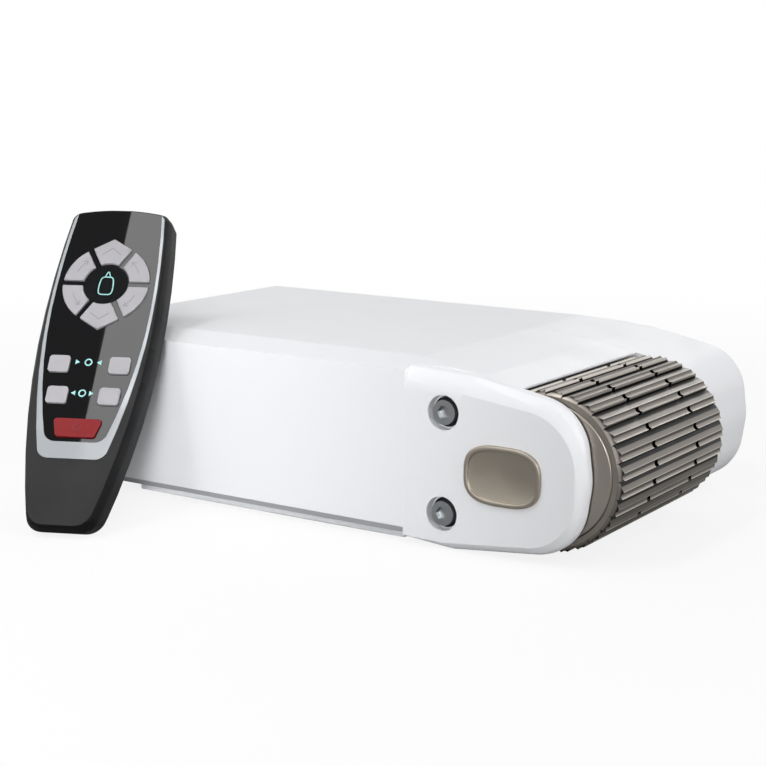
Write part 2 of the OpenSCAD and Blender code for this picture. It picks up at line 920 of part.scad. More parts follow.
// Sliding block with a collar for the cross tube and tapped holes for the chassis bracket
module carriage_block() {
    face = half_width + carriage_depth;
    centre = carriage_x + carriage_length / 2;
    mouth = face + collar;
    color("#B4B7BA")
        difference() {
            union() {
                translate([carriage_x, half_width + 3, carriage_height - carriage_half])
                    cube([carriage_length, carriage_depth - 3, 2 * carriage_half]);
                rod_y(centre, carriage_height, socket_r + 5, face, mouth);
            }
            rod_y(centre, carriage_height, socket_r, mouth - socket_depth, mouth + 1);
            for (side = [-1, 1])
                rod_x(slide_y, carriage_height + side * rod_spacing / 2, rod_r + bush_wall,
                    carriage_x - 1, carriage_x + carriage_length + 1);
            rod_x(slide_y, carriage_height, nut_r, carriage_x - 1, carriage_x + carriage_length + 1);
            for (i = [-1, 1])
                for (j = [-1, 1])
                    rod_y(centre + i * bolt_spacing / 2, carriage_height + j * bolt_spacing / 2, bolt_hole_r,
                        face - bolt_depth, face + 1);
        }
}

module carriage_bushes() {
    color(bronze)
        for (side = [-1, 1])
            difference() {
                rod_x(slide_y, carriage_height + side * rod_spacing / 2, rod_r + bush_wall,
                    carriage_x, carriage_x + carriage_length);
                rod_x(slide_y, carriage_height + side * rod_spacing / 2, rod_r + run,
                    carriage_x - 1, carriage_x + carriage_length + 1);
            }
}

module spindle_nut() {
    color(bronze)
        difference() {
            rod_x(slide_y, carriage_height, nut_r, carriage_x, carriage_x + carriage_length);
            rod_x(slide_y, carriage_height, screw_r + run, carriage_x - 1, carriage_x + carriage_length + 1);
        }
}

// Stands the handset on the ground, leaning on the housing's upper edge
module lean_handset() {
    translate([seam_x - handset_place, handset_y, -foot_lift])
        rotate([0, 0, handset_turn])
            rotate([90 - handset_lean, 0, 0]) children();
}

// Half width of the handset at a distance from its foot
function handset_side(v) = handset_width / 2
    - pow(v - widest_v, 2) / (v > widest_v ? upper_sweep : side_sweep);

// Half width of the fascia's frame, kept inside the flat face
function rim_side(v) = min(handset_side(v) - face_inset,
    rim_half - pow(v - rim_widest_v, 2) / (v > rim_widest_v ? rim_upper_sweep : rim_sweep));

// Width of the frame's sides, which swells towards the foot
function band_at(v) = rim_band + rim_swell * pow(max(0, rim_widest_v - v) / swell_length, 2);

// Outline through points on one side, mirrored to the other, with rounded corners
module two_sided(side, corner) {
    last = len(side) - 1;
    offset(r = corner, $fn = 40)
        offset(delta = -corner)
            polygon(concat(side, [for (i = [last : -1 : 0]) [-side[i][0], side[i][1]]]));
}

// Evenly spaced distances from one end to the other
function spread(low, high) = [for (i = [0 : 10]) low + (high - low) * i / 10];

// Handset outline with bowed sides that narrow to the tail and a crowned top, drawn in by insets
module handset_outline(inset, foot, top) {
    spare = 20;
    high = handset_length - top;
    end = high - top_crown;
    half = handset_side(end) - inset;
    crown = [for (t = [0.8, 0.6, 0.4, 0.2]) [t * half, high - top_crown * t * t]];
    intersection() {
        two_sided([for (v = spread(foot, high + spare)) [handset_side(v) - inset, v]], tail_corner);
        two_sided(concat([for (v = spread(foot - spare, end)) [handset_side(v) - inset, v]], crown),
            top_corner);
    }
}

module handset_form(inset) {
    slice = 0.05;
    hull()
        for (l = levels)
            translate([0, 0, inset + l[0] * (face_w - 2 * inset) / face_w])
                linear_extrude(slice) handset_outline(l[1] + inset, l[2] + inset, l[3] + inset);
}

module frame_outline() {
    high = handset_length + 2 * rim_corner;
    intersection() {
        two_sided([for (v = spread(rim_foot, high)) [rim_side(v), v]], rim_corner);
        handset_outline(face_inset, levels[5][2], levels[5][3] + 0.4);
    }
}

// Opening in the frame, which runs out over the top
module frame_opening() {
    high = handset_length + 2 * rim_corner;
    low = rim_foot + foot_band;
    two_sided([for (v = spread(low, high)) [rim_side(v) - band_at(v), v]], rim_corner);
}

// One of six steering keys; the front and back ones come to a point
module steering_key(angle, grow) {
    half = 30;
    reach = 2 * ring_r;
    pointed = abs(angle) == 90;
    wide = 0.62 * ring_r;
    shoulder = point_r - point_slope * wide;
    translate([0, ring_v])
        rotate(angle)
            difference() {
                intersection() {
                    polygon([[0, 0], reach * [cos(half), -sin(half)], reach * [cos(half), sin(half)]]);
                    if (pointed) {
                        polygon([[0, -wide], [shoulder + grow, -wide], [point_r + grow, 0],
                            [shoulder + grow, wide], [0, wide]]);
                    } else {
                        circle(r = ring_r + grow);
                    }
                }
                circle(r = disc_r - grow);
                for (side = [-half, half])
                    rotate(side) translate([0, grow - spoke / 2]) square([reach, spoke - 2 * grow]);
            }
}

// Key with rounded corners, narrower at its foot by a taper
module round_key(at, size, taper, grow) {
    half = size / 2 - [key_corner, key_corner];
    translate(at)
        hull()
            for (i = [-1, 1])
                for (j = [-1, 1])
                    translate([i * (half[0] - (j < 0 ? taper : 0)), j * half[1]])
                        circle(r = key_corner + grow, $fn = 24);
}

// Every key's outline by number: six steering keys, four engagement keys and the power key
module key_outline(i, grow) {
    if (i < 6) {
        steering_key(steer_angles[i], grow);
    } else if (i < 10) {
        round_key(side_keys[i - 6], key_size, 0, grow);
    } else {
        round_key([0, power_v], power_size, power_taper, grow);
    }
}

module key(i) {
    color(i == 10 ? "#B02A2E" : "#C9C5C8")
        lean_handset() {
            low = shelf - gap - flange_t;
            translate([0, 0, low]) linear_extrude(flange_t) key_outline(i, flange);
            translate([0, 0, low]) linear_extrude(face_w + key_stand - low) key_outline(i, 0);
        }
}

module handset_back() {
    post_r = 3;
    color(charcoal)
        lean_handset()
            difference() {
                union() {
                    difference() {
                        handset_form(0);
                        handset_form(handset_wall);
                        translate([-handset_width, -1, parting_w])
                            cube([2 * handset_width, handset_length + 2, face_w]);
                    }
                    for (p = handset_screws_at)
                        for (side = [-1, 1])
                            translate([side * p[0], p[1], 1]) cylinder(r = post_r, h = board_w - 1);
                }
                translate([-door_size[0] / 2 - key_gap, door_v - key_gap, -1])
                    cube([door_size[0] + 2 * key_gap, door_size[1] + 2 * key_gap, handset_wall + 1.5]);
                for (p = handset_screws_at)
                    for (side = [-1, 1])
                        translate([side * p[0], p[1], -1]) {
                            cylinder(r = handset_head_r + 0.1, h = 1 + handset_head_h);
                            cylinder(r = handset_screw_r, h = board_w + 2);
                        }
            }
}

module handset_front() {
    color("#1E1E20")
        lean_handset()
            difference() {
                handset_form(0);
                difference() {
                    handset_form(handset_wall);
                    translate([-handset_width, -1, shelf])
                        cube([2 * handset_width, handset_length + 2, face_w]);
                }
                translate([-handset_width, -1, -1])
                    cube([2 * handset_width, handset_length + 2, parting_w + 1]);
                translate([0, 0, face_w - pocket]) linear_extrude(face_w) frame_outline();
                for (i = [0 : key_count - 1])
                    translate([0, 0, parting_w]) linear_extrude(face_w) key_outline(i, key_gap);
            }
}

// Bright frame round the fascia, open at the top
module handset_trim() {
    color("#C9CCD0")
        lean_handset()
            translate([0, 0, face_w - pocket])
                difference() {
                    linear_extrude(pocket + trim_stand) frame_outline();
                    translate([0, 0, -1]) linear_extrude(2 * pocket + 2) frame_opening();
                }
}

module handset_fascia() {
    color("#0E0E10")
        lean_handset()
            translate([0, 0, face_w - pocket])
                linear_extrude(pocket)
                    difference() {
                        intersection() {
                            frame_opening();
                            frame_outline();
                        }
                        for (i = [0 : key_count - 1]) key_outline(i, key_gap);
                    }
}

module handset_board() {
    low = power_v - board_foot;
    color("#2F6B3A")
        lean_handset()
            difference() {
                translate([-board_half, low, board_w])
                    cube([2 * board_half, handset_length - low - board_top, board_t]);
                for (p = handset_screws_at)
                    for (s = [-1, 1])
                        translate([s * p[0], p[1], 0]) cylinder(r = handset_screw_r, h = face_w);
            }
}

module key_switches() {
    middle = (ring_r + disc_r) / 2;
    ring_spots = [for (a = steer_angles) [middle * cos(a), ring_v + middle * sin(a)]];
    spots = concat(ring_spots, side_keys, [[0, power_v]]);
    color("#B8B8BC")
        lean_handset()
            for (p = spots)
                translate([p[0] - switch_size / 2, p[1] - switch_size / 2, board_w + board_t])
                    cube([switch_size, switch_size, switch_h]);
}

module battery_cells() {
    tip = 1;
    color("#6E7276")
        lean_handset()
            for (side = [-1, 1])
                translate([side * cell_spacing / 2, cell_v, handset_wall + gap + cell_r])
                    rotate([-90, 0, 0]) {
                        cylinder(r = cell_r, h = cell_length - tip);
                        cylinder(r = 1.9, h = cell_length);
                    }
}

module battery_door() {
    grips = 4;
    color(charcoal)
        lean_handset()
            difference() {
                translate([-door_size[0] / 2, door_v, 0]) cube([door_size[0], door_size[1], handset_wall]);
                for (i = [0 : grips - 1])
                    translate([-door_grip[0] / 2, door_v + door_size[1] - 6 - 3 * i, -1])
                        cube([door_grip[0], door_grip[1], 1.6]);
            }
}

module handset_screws() {
    color(dark_steel)
        lean_handset()
            for (p = handset_screws_at)
                for (side = [-1, 1])
                    translate([side * p[0], p[1], 0]) {
                        translate([0, 0, 0.4]) cylinder(r = handset_head_r, h = handset_head_h - 0.4);
                        translate([0, 0, handset_head_h])
                            cylinder(r = handset_screw_r, h = board_w + board_t);
                    }
}

module key_forward() key(0);
module key_forward_left() key(1);
module key_back_left() key(2);
module key_back() key(3);
module key_back_right() key(4);
module key_forward_right() key(5);
module key_engage_left() key(6);
module key_engage_right() key(7);
module key_release_left() key(8);
module key_release_right() key(9);
module key_power() key(10);

main_cover();
floor_pan();
base_plate();
near_cheek();
top_bridge();
gearbox_case();
gearbox_cover();
cheek_screws();
cheek_washers();
gearbox_screws();
base_screws();
near_bearing();
far_bearing();
idler_pin();
drive_motor();
motor_cap();
gearhead();
motor_saddle();
cable_gland();
rod_brackets();
guide_rods();
actuator_motor();
roller_sleeve();
roller_plugs();
roller_shaft();
roller_gear();
idler_gear();
drive_gear();
lead_screw();
carriage_block();
carriage_bushes();
spindle_nut();
handset_back();
handset_front();
handset_trim();
handset_fascia();
handset_board();
key_switches();
battery_cells();
battery_door();
handset_screws();
key_forward();
key_forward_left();
key_back_left();
key_back();
key_back_right();
key_forward_right();
key_engage_left();
key_engage_right();
key_release_left();
key_release_right();
key_power();
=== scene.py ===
import json
import math

import bpy
import numpy as np
from mathutils import Matrix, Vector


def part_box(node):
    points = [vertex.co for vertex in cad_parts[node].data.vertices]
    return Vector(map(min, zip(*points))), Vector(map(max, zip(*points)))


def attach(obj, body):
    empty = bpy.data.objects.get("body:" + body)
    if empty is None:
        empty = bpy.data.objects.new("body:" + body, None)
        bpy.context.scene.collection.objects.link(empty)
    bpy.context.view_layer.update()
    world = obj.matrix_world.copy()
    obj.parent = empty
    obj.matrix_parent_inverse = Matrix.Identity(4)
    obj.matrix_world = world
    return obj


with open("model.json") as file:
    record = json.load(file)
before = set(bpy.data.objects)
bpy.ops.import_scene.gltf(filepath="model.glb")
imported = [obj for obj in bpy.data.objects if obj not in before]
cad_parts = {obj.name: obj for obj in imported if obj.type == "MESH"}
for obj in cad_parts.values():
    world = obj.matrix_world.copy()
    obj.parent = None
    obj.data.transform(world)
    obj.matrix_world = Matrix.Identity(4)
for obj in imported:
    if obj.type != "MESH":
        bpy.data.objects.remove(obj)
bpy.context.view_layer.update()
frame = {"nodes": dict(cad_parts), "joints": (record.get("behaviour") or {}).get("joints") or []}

MM = 0.001
part = frame["nodes"]


# Main housing: one deep injection moulding in white ABS over a grey floor pan, screwed from
# below to a flat base plate. The tool leaves a fine grain on the faces and soft outer edges.
def srgb(code):
    """Linear RGBA of an sRGB hex colour: (c / 12.92) below 0.04045, else ((c + 0.055) / 1.055) ^ 2.4."""
    c = np.array([int(code[i:i + 2], 16) for i in (1, 3, 5)]) / 255
    return (*np.where(c <= 0.04045, c / 12.92, ((c + 0.055) / 1.055) ** 2.4), 1.0)


def add(tree, kind, inputs=None, **settings):
    """Adds a node, sets its properties, and gives each named input a value or a link."""
    made = tree.nodes.new(kind)
    for name, value in settings.items():
        setattr(made, name, value)
    for name, value in (inputs or {}).items():
        if isinstance(value, bpy.types.NodeSocket):
            tree.links.new(value, made.inputs[name])
        else:
            made.inputs[name].default_value = value
    return made


def finish(name, colour, roughness, grain, relief, smudge=0.06, **surface):
    """A surface with bumps of grain mm across and relief mm high, and a roughness that wanders
    by smudge over patches of 25 mm, as handling and moulding leave it."""
    made = bpy.data.materials.new(name)
    made.use_nodes = True
    tree = made.node_tree
    shader = tree.nodes["Principled BSDF"]
    place = add(tree, "ShaderNodeTexCoord").outputs["Object"]
    bumps = add(tree, "ShaderNodeTexNoise", {"Vector": place, "Scale": 1 / (grain * MM), "Detail": 2.0})
    patches = add(tree, "ShaderNodeTexNoise", {"Vector": place, "Scale": 1 / (25 * MM), "Detail": 3.0})
    sheen = add(tree, "ShaderNodeMapRange", {
        "Value": patches.outputs["Fac"], "From Min": 0.3, "From Max": 0.7,
        "To Min": roughness - smudge, "To Max": roughness + smudge})
    normal = add(tree, "ShaderNodeBump", {"Height": bumps.outputs["Fac"], "Strength": 1.0,
                 "Distance": relief * MM})
    tree.links.new(sheen.outputs["Result"], shader.inputs["Roughness"])
    tree.links.new(normal.outputs["Normal"], shader.inputs["Normal"])
    shader.inputs["Base Color"].default_value = srgb(colour)
    for key, value in surface.items():
        shader.inputs[key.replace("_", " ")].default_value = value
    return made


# Faces that meet at less than a piece's crease angle shade as one round surface.
smooth_rounds = bpy.data.node_groups.new("smooth_rounds", "GeometryNodeTree")
smooth_rounds.interface.new_socket("Geometry", in_out="INPUT", socket_type="NodeSocketGeometry")
smooth_rounds.interface.new_socket("Geometry", in_out="OUTPUT", socket_type="NodeSocketGeometry")
limit = smooth_rounds.interface.new_socket("Crease", in_out="INPUT", socket_type="NodeSocketFloat").identifier
entry = add(smooth_rounds, "NodeGroupInput")
crease = add(smooth_rounds, "GeometryNodeInputMeshEdgeAngle").outputs["Unsigned Angle"]
blunt = add(smooth_rounds, "FunctionNodeCompare", {"A": crease, "B": entry.outputs["Crease"]},
            operation="LESS_THAN")
faces = add(smooth_rounds, "GeometryNodeSetShadeSmooth",
            {"Geometry": entry.outputs["Geometry"], "Shade Smooth": True}, domain="FACE")
edges = add(smooth_rounds, "GeometryNodeSetShadeSmooth",
            {"Geometry": faces.outputs["Geometry"], "Shade Smooth": blunt.outputs["Result"]}, domain="EDGE")
add(smooth_rounds, "NodeGroupOutput", {"Geometry": edges.outputs["Geometry"]})


def soften(piece, radius=0.0, bend=35):
    """Joins a piece's triangles, rounds its sharp edges to radius mm, and shades as smooth all
    edges that turn by less than bend degrees."""
    piece.modifiers.new("join", "WELD").merge_threshold = 0.001 * MM
    if radius:
        rounding = piece.modifiers.new("edges", "BEVEL")
        rounding.width = radius * MM
        rounding.segments = 3
        rounding.limit_method = "ANGLE"
        rounding.angle_limit = math.radians(35)
        rounding.use_clamp_overlap = True
    rounds = piece.modifiers.new("rounds", "NODES")
    rounds.node_group = smooth_rounds
    rounds[limit] = math.radians(bend)
    if radius:
        flats = piece.modifiers.new("flats", "WEIGHTED_NORMAL")
        flats.keep_sharp = True


def dress(material, radius, *names, bend=35):
    """Gives CAD nodes a material and soft edges."""
    for name in names:
        part[name].data.materials.clear()
        part[name].data.materials.append(material)
        soften(part[name], radius, bend)


# White ABS: a matt moulded skin whose fine grain spreads the highlights.
white_abs = finish("white_ABS_moulded", "#E9EAED", 0.42, grain=0.7, relief=0.012, IOR=1.53)
dress(white_abs, 0.8, "main_cover", bend=12)
dress(white_abs, 0.8, "base_plate")
# Grey ABS, moulded smooth and only seen along the sill.
grey_abs = finish("grey_ABS_moulded", "#C4C6CA", 0.45, grain=0.7, relief=0.01, IOR=1.53)
dress(grey_abs, 0.0, "floor_pan")
# Blackened steel: dark, a little oily, for every socket screw.
black_steel = finish("blackened_steel", "#4A4C4F", 0.36, grain=0.5, relief=0.01, Metallic=1.0)
dress(black_steel, 0.2, "base_screws")


# Drive end: two white cheeks and the bridge between them, moulded like the housing. Two socket
# screws with steel washers pull the outboard cheek on, and four hold the gear case cover.
dress(white_abs, 0.7, "top_bridge", bend=6)
dress(white_abs, 0.7, "gearbox_case")
dress(white_abs, 0.5, "gearbox_cover")
dress(white_abs, 0.5, "near_cheek", bend=15)
# Zinc-plated steel: a cool, bright grey.
zinc_steel = finish("zinc_plated_steel", "#9DA0A2", 0.3, grain=0.6, relief=0.006, Metallic=1.0)
dress(zinc_steel, 0.5, "cheek_screws", "gearbox_screws")
# Washer steel under the heads, painted almost black as the shade in the recesses round them.
shaded_washer_steel = finish("washer_steel_painted_dark", "#2B2C2E", 0.4, grain=0.5, relief=0.01, Metallic=1.0)
dress(shaded_washer_steel, 0.2, "cheek_washers")


# Badge: a blank plate of nickel-plated zinc, die-cast with a raised rim round a plain field and
# pressed by two studs into the outboard cheek, between the screws and the roller.
def shells(name, skins, material, body):
    """One mesh of several skins, which rides a body. A skin is k rings of n points, as a k x n x 3
    array in metres, joined ring to ring by quads. A loop joins its last ring to its first; any
    other skin is closed over its first and last ring."""
    points, faces, count = [], [], 0
    for rings, loop in skins:
        k, n = rings.shape[:2]
        i, j = np.meshgrid(np.arange(k if loop else k - 1), np.arange(n), indexing="ij")
        onward, beside = (i + 1) % k, (j + 1) % n
        quads = np.stack([i * n + j, i * n + beside, onward * n + beside, onward * n + j], -1)
        faces += (count + quads.reshape(-1, 4)).tolist()
        if not loop:
            faces += [(count + np.arange(n)[::-1]).tolist(), (count + (k - 1) * n + np.arange(n)).tolist()]
        points.append(rings.reshape(-1, 3))
        count += k * n
    mesh = bpy.data.meshes.new(name)
    mesh.from_pydata(np.concatenate(points).tolist(), [], faces)
    mesh.materials.append(material)
    piece = bpy.data.objects.new(name, mesh)
    bpy.context.scene.collection.objects.link(piece)
    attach(piece, body)
    return piece


def lozenge(half_x, half_z, power, turns):
    """Superellipse |x / half_x| ^ power + |z / half_z| ^ power = 1, as x and z over its turns."""
    c, s = np.cos(turns), np.sin(turns)
    return (half_x * np.sign(c) * np.abs(c) ** (2 / power), half_z * np.sign(s) * np.abs(s) ** (2 / power))


# Each ring of the badge is the lozenge drawn in by an inset, at a height over the cheek, in mm.
badge_at = np.array([154.8, 43.7])
cheek_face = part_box("near_cheek")[0][1] / MM
badge_half_x, badge_half_z, badge_power = 22.0, 15.6, 3.0
badge_steps = [(0, -0.3), (0, 1.1), (0.25, 1.6), (0.8, 1.85),
               (2.0, 1.85), (2.5, 1.6), (2.8, 0.9), (3.2, 0.75)]
turns = np.linspace(0, 2 * np.pi, 160, endpoint=False)
badge_rings = []
for inset, height in badge_steps:
    x, z = lozenge(badge_half_x - inset, badge_half_z - inset, badge_power, turns)
    badge_rings.append(np.stack([badge_at[0] + x, np.full_like(x, cheek_face - height), badge_at[1] + z], -1))
# Plated zinc: a warm, dull grey with a broad highlight.
plated_zinc = finish("nickel_plated_zinc", "#A79F93", 0.36, grain=0.6, relief=0.02, Metallic=1.0)
badge = shells("badge", [(np.array(badge_rings) * MM, False)], plated_zinc, "drive_unit")
soften(badge)


# Roller: an aluminium tube whose tread rows are ramps with hollowed blocks, parted by two rings.
# It is blasted with fine beads, anodised to a warm grey, plugged, and runs on a ground steel shaft.
# Anodised aluminium after bead blasting: a warm metal with a silky, even scatter. The grooves under
# the lips and the ends of the blocks carry painted shadow, nearly black.
taupe_anodised = finish("anodised_aluminium_blasted", "#9C958D", 0.36, grain=0.45, relief=0.03, Metallic=1.0)
spin = next(joint for joint in frame["joints"] if joint["name"] == "roller_spin")["pos_m"]
low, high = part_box("roller_sleeve")
tread_rows = 27
tread_depth = 2.7 * MM
root = (high[0] - low[0]) / 2 - tread_depth
half = (high[1] - low[1]) / 2
tree = taupe_anodised.node_tree
spot = add(tree, "ShaderNodeTexCoord")
arm = add(tree, "ShaderNodeVectorMath", {0: spot.outputs["Object"], 1: spin}, operation="SUBTRACT")
flat_arm = add(tree, "ShaderNodeVectorMath", {0: arm.outputs["Vector"], 1: (1, 0, 1)}, operation="MULTIPLY")
flat_arm = flat_arm.outputs["Vector"]
distance = add(tree, "ShaderNodeVectorMath", {0: flat_arm}, operation="LENGTH").outputs["Value"]
# A row runs from the groove up its ramp to the crest at 0.53, over the hollow block to the lip at
# 0.91, and down. Painted highlights lie on the crest, lip and fall, painted shade in the groove and at the
# start of the hollow, lightening towards the lip, and the ramp keeps a plain mid tone.
flat_x, flat_z = (add(tree, "ShaderNodeSeparateXYZ", {0: flat_arm}).outputs[key] for key in ("X", "Z"))
angle = add(tree, "ShaderNodeMath", {0: flat_z, 1: flat_x}, operation="ARCTAN2")
rows = add(tree, "ShaderNodeMath", {0: angle.outputs[0], 1: -tread_rows / (2 * math.pi)}, operation="MULTIPLY")
place = add(tree, "ShaderNodeMath", {0: rows.outputs[0]}, operation="FRACT")
tone = add(tree, "ShaderNodeValToRGB", {"Fac": place.outputs[0]})
# Painted shade at both ends of the row, down in the groove.
tone.color_ramp.elements[0].color = srgb("#1A1816")
tone.color_ramp.elements[1].color = srgb("#2A2724")
for position, code in ((0.03, "#66625E"), (0.48, "#807C76"), (0.525, "#B8B2A9"), (0.55, "#56524E"),
                       (0.7, "#807A74"), (0.86, "#96908A"), (0.905, "#CBC5BC"), (0.93, "#DDD7CE"),
                       (0.97, "#CFC9C0")):
    tone.color_ramp.elements.new(position).color = srgb(code)
# Painted shadow: fully black up to 1.25 mm above the root, gone by 1.45 mm.
groove_shadow_full, groove_shadow_gone = root + 1.25 * MM, root + 1.45 * MM
groove = add(tree, "ShaderNodeMapRange", {"Value": distance, "From Min": groove_shadow_full, "From Max": groove_shadow_gone,
             "To Min": 1.0, "To Max": 0.0})
# Painted shadow: faces that turn along the roller's axis, the ends of the blocks, go nearly black.
sidelong = add(tree, "ShaderNodeSeparateXYZ", {0: spot.outputs["Normal"]}).outputs["Y"]
sidelong = add(tree, "ShaderNodeMath", {0: sidelong}, operation="ABSOLUTE").outputs[0]
block_end = add(tree, "ShaderNodeMapRange", {"Value": sidelong, "From Min": 0.5, "From Max": 0.8})
painted_shade = add(tree, "ShaderNodeMath", {0: block_end.outputs["Result"], 1: groove.outputs["Result"]},
           operation="MAXIMUM")
tread = add(tree, "ShaderNodeMix", {
    "Factor": painted_shade.outputs[0], "A": tone.outputs["Color"], "B": srgb("#151312")}, data_type="RGBA")
# The painted shade and highlights are left off both ends over the bevel's length, which keep a plain colour.
length = add(tree, "ShaderNodeSeparateXYZ", {0: spot.outputs["Object"]}).outputs["Y"]
offset = add(tree, "ShaderNodeMath", {0: length, 1: low[1] + half}, operation="SUBTRACT")
offset = add(tree, "ShaderNodeMath", {0: offset.outputs[0]}, operation="ABSOLUTE")
bevel_start, bevel_end = half - 2.0 * MM, half - 1.2 * MM
end = add(tree, "ShaderNodeMapRange", {
    "Value": offset.outputs[0], "From Min": bevel_start, "From Max": bevel_end})
plain_ends = add(tree, "ShaderNodeMix", {
    "Factor": end.outputs["Result"], "A": tread.outputs["Result"], "B": srgb("#8C867F")}, data_type="RGBA")
tree.links.new(plain_ends.outputs["Result"], tree.nodes["Principled BSDF"].inputs["Base Color"])
dress(taupe_anodised, 0.15, "roller_sleeve")
# The end plugs are turned, not blasted, in the same colour.
taupe_turned = finish("anodised_aluminium_turned", "#A29B93", 0.32, grain=0.5, relief=0.01, Metallic=1.0)
dress(taupe_turned, 0.4, "roller_plugs")
# Ground steel: fine and bright, with a short highlight.
ground_steel = finish("ground_steel", "#B9BCBF", 0.24, grain=0.4, relief=0.004, Metallic=1.0)
dress(ground_steel, 0.3, "roller_shaft", "roller_gear", "near_bearing", "far_bearing")


# Gear train and motor: steel pinions, a bronze idler on its pin, and a black motor with an
# alloy gearhead on a saddle. The closed housing hides them.
# Sintered bronze: dull gold, open-grained.
sintered_bronze = finish("sintered_bronze", "#A98850", 0.42, grain=0.4, relief=0.01, Metallic=1.0)
dress(sintered_bronze, 0.15, "idler_gear", "carriage_bushes", "spindle_nut")
dress(ground_steel, 0.15, "idler_pin", "drive_gear")
# Black enamel on a drawn can: even and half glossy.
black_enamel = finish("black_enamel", "#1C1D1F", 0.32, grain=0.9, relief=0.006, Coat_Weight=0.2)
dress(black_enamel, 0.8, "drive_motor", "actuator_motor")
# Die-cast aluminium: pale grey with a cloudy skin.
cast_alloy = finish("die_cast_aluminium", "#B3B6B9", 0.46, grain=0.8, relief=0.02, smudge=0.1, Metallic=1.0)
dress(cast_alloy, 0.6, "gearhead", "motor_saddle", "rod_brackets", "carriage_block")


# Engagement gear on the inboard side: ground guide rods, a lead screw and a sliding block that
# is bolted to the chassis. The supply cable enters by a black nylon gland.
dress(ground_steel, 0.5, "guide_rods", "lead_screw")
# Nylon: black, waxy and slightly rough.
black_nylon = finish("black_nylon", "#1A1A1B", 0.5, grain=0.6, relief=0.01, IOR=1.53)
dress(black_nylon, 0.4, "motor_cap", "cable_gland")


# Handset body: two charcoal ABS shells that part along the side, with a battery door behind.
# A satin chromed frame holds the gloss black window over the keys.
# Charcoal ABS with a fine grain on the flat faces.
charcoal_abs = finish("charcoal_ABS_moulded", "#1C1C1D", 0.46, grain=0.5, relief=0.012, IOR=1.53,
                      Specular_IOR_Level=0.14)
dress(charcoal_abs, 0.5, "handset_back", "battery_door")
dress(black_steel, 0.1, "handset_screws")
# The handset's own axes: out of the window, across it and along it.
out = -np.array(next(joint for joint in frame["joints"] if joint["name"] == "key_power_press")["axis"])
across = np.cross((0, 0, 1), out)
across /= np.linalg.norm(across)
along = np.cross(out, across)
axes = np.stack([across, along, out])


def span(name):
    """Lowest and highest corner of a CAD node across, along and out of the handset, in mm."""
    flat = np.empty(3 * len(part[name].data.vertices))
    part[name].data.vertices.foreach_get("co", flat)
    local = flat.reshape(-1, 3) @ axes.T / MM
    return np.array([local.min(0), local.max(0)])


# The upper shell has the same grain, but its bevelled edge is coloured near black over a band 6 mm deep.
edged_abs = finish("charcoal_ABS_with_dark_edge", "#1C1C1D", 0.46, grain=0.5, relief=0.01, IOR=1.53,
                   Specular_IOR_Level=0.14)
verge = span("handset_front")[1][2] * MM
tree = edged_abs.node_tree
place = add(tree, "ShaderNodeTexCoord").outputs["Object"]
level = add(tree, "ShaderNodeVectorMath", {0: place, 1: out}, operation="DOT_PRODUCT").outputs["Value"]
face = add(tree, "ShaderNodeMapRange", {
    "Value": level, "From Min": verge - 0.3 * MM, "From Max": verge - 0.1 * MM})
flank = add(tree, "ShaderNodeMapRange", {
    "Value": level, "From Min": verge - 6.6 * MM, "From Max": verge - 6.0 * MM, "To Min": 1.0, "To Max": 0.0})
plain = add(tree, "ShaderNodeMath", {0: face.outputs["Result"], 1: flank.outputs["Result"]},
            operation="MAXIMUM")
hue = add(tree, "ShaderNodeMix", {
    "Factor": plain.outputs[0], "A": srgb("#060607"), "B": srgb("#1C1C1D")}, data_type="RGBA")
tree.links.new(hue.outputs["Result"], tree.nodes["Principled BSDF"].inputs["Base Color"])
dress(edged_abs, 0.5, "handset_front")
# Satin chrome on ABS: bright, with a slightly blurred mirror.
satin_chrome = finish("satin_chrome_on_ABS", "#6A6C6E", 0.34, grain=0.8, relief=0.0, smudge=0.03,
                      Metallic=1.0)
dress(satin_chrome, 0.7, "handset_trim")
# Polished black acrylic: a deep, clear mirror over black.
black_acrylic = finish("polished_black_acrylic", "#08080A", 0.015, grain=6.0, relief=0.0, smudge=0.005,
                       IOR=1.49, Specular_IOR_Level=0.11)
dress(black_acrylic, 0.15, "handset_fascia")
# Solder mask over glass fibre: glossy green, sealed inside.
solder_mask = finish("green_solder_mask", "#1F5A2C", 0.25, grain=2.0, relief=0.005)
dress(solder_mask, 0.0, "handset_board")
# Printed jacket of a dry cell, plain grey and sealed inside.
cell_jacket = finish("cell_jacket", "#6E7276", 0.3, grain=1.0, relief=0.004, Metallic=0.6)
dress(cell_jacket, 0.3, "battery_cells")


# Keys: silicone caps in light grey, six round the ring, four at the sides, and a red power key.
# Each stands through its own hole in the window.
keys = [name for name in part if name.startswith("key_") and name != "key_switches"]
# Silicone rubber: matt and soft, with no clear highlight.
grey_silicone = finish("light_grey_silicone", "#98969A", 0.58, grain=0.5, relief=0.008, IOR=1.42)
red_silicone = finish("red_silicone", "#74181C", 0.5, grain=0.5, relief=0.008, IOR=1.42,
                      Specular_IOR_Level=0.25)
for name in keys:
    dress(red_silicone if name == "key_power" else grey_silicone, 0.7, name)
dress(grey_silicone, 0.2, "key_switches")


